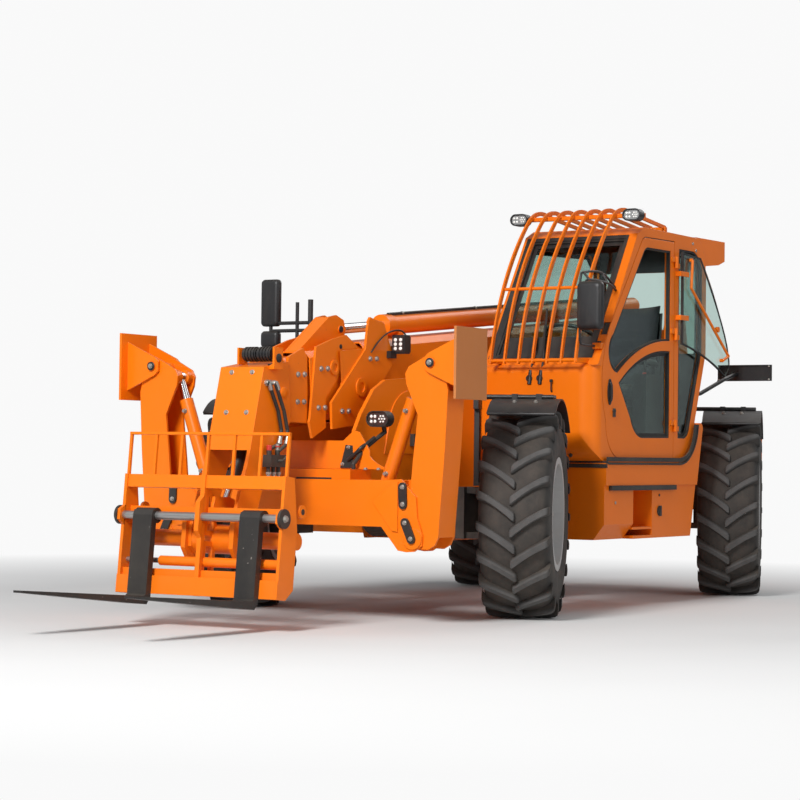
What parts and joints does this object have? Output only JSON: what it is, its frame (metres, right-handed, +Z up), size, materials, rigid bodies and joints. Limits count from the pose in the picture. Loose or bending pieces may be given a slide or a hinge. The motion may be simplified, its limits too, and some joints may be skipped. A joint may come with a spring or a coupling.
{
  "type": "telehandler",
  "caption": "Heavy rigid telehandler: telescopic boom with a fork carriage, side cab, swing-down stabilisers and steered lug tyres.",
  "frame": {"origin": "centre of the footprint's bounding box, on the ground", "axes": "+X to the machine's left (the cab's side), -Y to the front (the forks), +Z up"},
  "size_m": [2.843, 7.2896, 2.6513],
  "materials": {
    "orange_paint": "bright orange gloss paint, a little dusty",
    "black_paint": "satin black paint with dust",
    "fork_black": "black forged steel, worn at the heels",
    "pad_paint": "orange paint with a worn brown face",
    "wheel_silver": "light silver wheel paint",
    "tyre_rubber": "black rubber, lugs worn grey, dusty grooves",
    "bare_steel": "worn bare steel",
    "chrome_rod": "hard chromed",
    "window_glass": "clear, faint green tint",
    "seat_vinyl": "dark woven cloth",
    "black_plastic": "textured black",
    "lamp_housing": "black housing, clear lens",
    "engine_iron": "painted casting",
    "hose_rubber": "hydraulic hose with steel ends"
  },
  "bodies": {
    "chassis": {"axle_front": "black_paint", "axle_rear": "black_paint", "body_strips": "black_plastic", "cab_glass": "window_glass", "cab_guard": "orange_paint", "cab_shell": "orange_paint", "chassis_frame": "orange_paint", "counterweight": "orange_paint", "dashboard": "black_plastic", "engine_block": "engine_iron", "engine_hood": "orange_paint", "mirror_left": "black_plastic", "mirror_right": "black_plastic", "operator_seat": "seat_vinyl", "pane_stay": "orange_paint", "pin_keepers": "black_paint", "rear_arm": "black_paint", "side_box": "orange_paint", "upper_pane": "window_glass", "work_lamps": "lamp_housing"},
    "boom_outer": {"boom_lamp": "lamp_housing", "boom_outer": "orange_paint", "extension_barrel": "orange_paint"},
    "boom_four": {"boom_section_four": "orange_paint", "head_hydraulics": "hose_rubber", "hose_rollers": "black_plastic"},
    "boom_three": {"boom_section_three": "orange_paint"},
    "boom_two": {"boom_section_two": "orange_paint", "extension_rod": "chrome_rod"},
    "door": {"cab_door": "orange_paint", "door_glass": "window_glass"},
    "carriage": {"carriage": "orange_paint", "fork_shaft": "bare_steel"},
    "fork_left": {"fork_left": "fork_black"},
    "fork_right": {"fork_right": "fork_black"},
    "hood_lid": {"hood_lid": "orange_paint"},
    "knuckle_front_left": {"knuckle_front_left": "black_paint"},
    "knuckle_front_right": {"knuckle_front_right": "black_paint"},
    "knuckle_rear_left": {"knuckle_rear_left": "black_paint"},
    "knuckle_rear_right": {"knuckle_rear_right": "black_paint"},
    "leg_left": {"leg_left": "orange_paint"},
    "leg_right": {"leg_right": "orange_paint"},
    "lift_barrel": {"lift_barrel": "orange_paint"},
    "lift_rod": {"lift_rod": "chrome_rod"},
    "pad_left": {"pad_left": "pad_paint"},
    "pad_right": {"pad_right": "pad_paint"},
    "wheel_front_left": {"rim_front_left": "wheel_silver", "tyre_front_left": "tyre_rubber"},
    "wheel_front_right": {"rim_front_right": "wheel_silver", "tyre_front_right": "tyre_rubber"},
    "wheel_rear_left": {"rim_rear_left": "wheel_silver", "tyre_rear_left": "tyre_rubber"},
    "wheel_rear_right": {"rim_rear_right": "wheel_silver", "tyre_rear_right": "tyre_rubber"},
    "stab_barrel_left": {"stab_barrel_left": "orange_paint"},
    "stab_barrel_right": {"stab_barrel_right": "orange_paint"},
    "stab_rod_left": {"stab_rod_left": "chrome_rod"},
    "stab_rod_right": {"stab_rod_right": "chrome_rod"},
    "tilt_barrel": {"tilt_barrel": "orange_paint"},
    "tilt_rod": {"tilt_rod": "chrome_rod"}
  },
  "joints": [
    {"name": "steer_front_left", "type": "hinge", "parent": "chassis", "child": "knuckle_front_left", "pos_m": [0.8, -0.565, 0.64], "axis": [0, 0, 1], "range_deg": [-59, 17]},
    {"name": "spin_front_left", "type": "hinge", "parent": "knuckle_front_left", "child": "wheel_front_left", "pos_m": [0.98672, -0.49333, 0.64], "axis": [0.9336, 0.3584, 0], "continuous": true},
    {"name": "steer_front_right", "type": "hinge", "parent": "chassis", "child": "knuckle_front_right", "pos_m": [-0.8, -0.565, 0.64], "axis": [0, 0, 1], "range_deg": [-59, 17]},
    {"name": "spin_front_right", "type": "hinge", "parent": "knuckle_front_right", "child": "wheel_front_right", "pos_m": [-0.98672, -0.63667, 0.64], "axis": [0.9336, 0.3584, 0], "continuous": true},
    {"name": "steer_rear_left", "type": "hinge", "parent": "chassis", "child": "knuckle_rear_left", "pos_m": [0.8, 2.635, 0.64], "axis": [0, 0, 1], "range_deg": [-59, 17]},
    {"name": "spin_rear_left", "type": "hinge", "parent": "knuckle_rear_left", "child": "wheel_rear_left", "pos_m": [0.98672, 2.70667, 0.64], "axis": [0.9336, 0.3584, 0], "continuous": true},
    {"name": "steer_rear_right", "type": "hinge", "parent": "chassis", "child": "knuckle_rear_right", "pos_m": [-0.8, 2.635, 0.64], "axis": [0, 0, 1], "range_deg": [-59, 17]},
    {"name": "spin_rear_right", "type": "hinge", "parent": "knuckle_rear_right", "child": "wheel_rear_right", "pos_m": [-0.98672, 2.56333, 0.64], "axis": [0.9336, 0.3584, 0], "continuous": true},
    {"name": "boom_lift", "type": "hinge", "parent": "chassis", "child": "boom_outer", "pos_m": [0, 3.185, 1.9], "axis": [-1, 0, 0], "range_deg": [0, 66]},
    {"name": "extend_two", "type": "slide", "parent": "boom_outer", "child": "boom_two", "axis": [0, -0.9954, -0.0958], "range_m": [0, 3.6]},
    {"name": "extend_three", "type": "slide", "parent": "boom_two", "child": "boom_three", "axis": [0, -0.9954, -0.0958], "range_m": [0, 3.6]},
    {"name": "extend_four", "type": "slide", "parent": "boom_three", "child": "boom_four", "axis": [0, -0.9954, -0.0958], "range_m": [0, 3.6]},
    {"name": "lift_barrel_turn", "type": "hinge", "parent": "chassis", "child": "lift_barrel", "pos_m": [0, 2.885, 0.85], "axis": [-1, 0, 0], "range_deg": [0, 51.3]},
    {"name": "lift_rod_stroke", "type": "slide", "parent": "lift_barrel", "child": "lift_rod", "axis": [0, -0.9527, 0.304], "range_m": [0, 1.067]},
    {"name": "carriage_tilt", "type": "hinge", "parent": "boom_four", "child": "carriage", "pos_m": [0, -2.345, 0.5], "axis": [1, 0, 0], "range_deg": [-8, 90]},
    {"name": "tilt_barrel_turn", "type": "hinge", "parent": "boom_four", "child": "tilt_barrel", "pos_m": [0, -1.925, 1.35], "axis": [1, 0, 0], "range_deg": [-8.3, 0.9]},
    {"name": "tilt_rod_stroke", "type": "slide", "parent": "tilt_barrel", "child": "tilt_rod", "axis": [0, -0.4947, -0.8691], "range_m": [-0.025, 0.266]},
    {"name": "fork_left_shift", "type": "slide", "parent": "carriage", "child": "fork_left", "axis": [1, 0, 0], "range_m": [-0.11, 0.09]},
    {"name": "fork_right_shift", "type": "slide", "parent": "carriage", "child": "fork_right", "axis": [-1, 0, 0], "range_m": [-0.11, 0.09]},
    {"name": "leg_left_swing", "type": "hinge", "parent": "chassis", "child": "leg_left", "pos_m": [0.888, -1.565, 0.51], "axis": [0, 1, 0], "range_deg": [0, 100]},
    {"name": "pad_left_tilt", "type": "hinge", "parent": "leg_left", "child": "pad_left", "pos_m": [1, -1.565, 1.525], "axis": [0, 1, 0], "range_deg": [-25, 5]},
    {"name": "stab_barrel_left_turn", "type": "hinge", "parent": "chassis", "child": "stab_barrel_left", "pos_m": [0.62, -1.565, 0.76], "axis": [0, 1, 0], "range_deg": [0, 88.7]},
    {"name": "stab_rod_left_stroke", "type": "slide", "parent": "stab_barrel_left", "child": "stab_rod_left", "axis": [0.3363, 0, 0.9417], "range_m": [0, 0.529]},
    {"name": "leg_right_swing", "type": "hinge", "parent": "chassis", "child": "leg_right", "pos_m": [-0.888, -1.565, 0.51], "axis": [0, -1, 0], "range_deg": [0, 100]},
    {"name": "pad_right_tilt", "type": "hinge", "parent": "leg_right", "child": "pad_right", "pos_m": [-1, -1.565, 1.525], "axis": [0, -1, 0], "range_deg": [-25, 5]},
    {"name": "stab_barrel_right_turn", "type": "hinge", "parent": "chassis", "child": "stab_barrel_right", "pos_m": [-0.62, -1.565, 0.76], "axis": [0, -1, 0], "range_deg": [0, 88.7]},
    {"name": "stab_rod_right_stroke", "type": "slide", "parent": "stab_barrel_right", "child": "stab_rod_right", "axis": [-0.3363, 0, 0.9417], "range_m": [0, 0.529]},
    {"name": "cab_door_swing", "type": "hinge", "parent": "chassis", "child": "door", "pos_m": [1.154, 1.353, 1.84], "axis": [0, 0, 1], "range_deg": [0, 95]},
    {"name": "hood_lid_lift", "type": "hinge", "parent": "chassis", "child": "hood_lid", "pos_m": [-0.456, 1.035, 1.452], "axis": [0, 1, 0], "range_deg": [0, 60]}
  ],
  "couplings": [
    {"joint": "steer_front_right", "follows": "steer_front_left", "ratio": 1},
    {"joint": "steer_rear_right", "follows": "steer_rear_left", "ratio": 1},
    {"joint": "extend_three", "follows": "extend_two", "ratio": 1},
    {"joint": "extend_four", "follows": "extend_two", "ratio": 1},
    {"joint": "lift_barrel_turn", "follows": "boom_lift", "ratio": 0.77488},
    {"joint": "lift_rod_stroke", "follows": "boom_lift", "m_per_rad": 0.92517},
    {"joint": "tilt_barrel_turn", "follows": "carriage_tilt", "ratio": -0.09029},
    {"joint": "tilt_rod_stroke", "follows": "carriage_tilt", "m_per_rad": 0.16819},
    {"joint": "stab_barrel_left_turn", "follows": "leg_left_swing", "ratio": 0.88568},
    {"joint": "stab_rod_left_stroke", "follows": "leg_left_swing", "m_per_rad": 0.302},
    {"joint": "stab_barrel_right_turn", "follows": "leg_right_swing", "ratio": 0.88568},
    {"joint": "stab_rod_right_stroke", "follows": "leg_right_swing", "m_per_rad": 0.302}
  ]
}
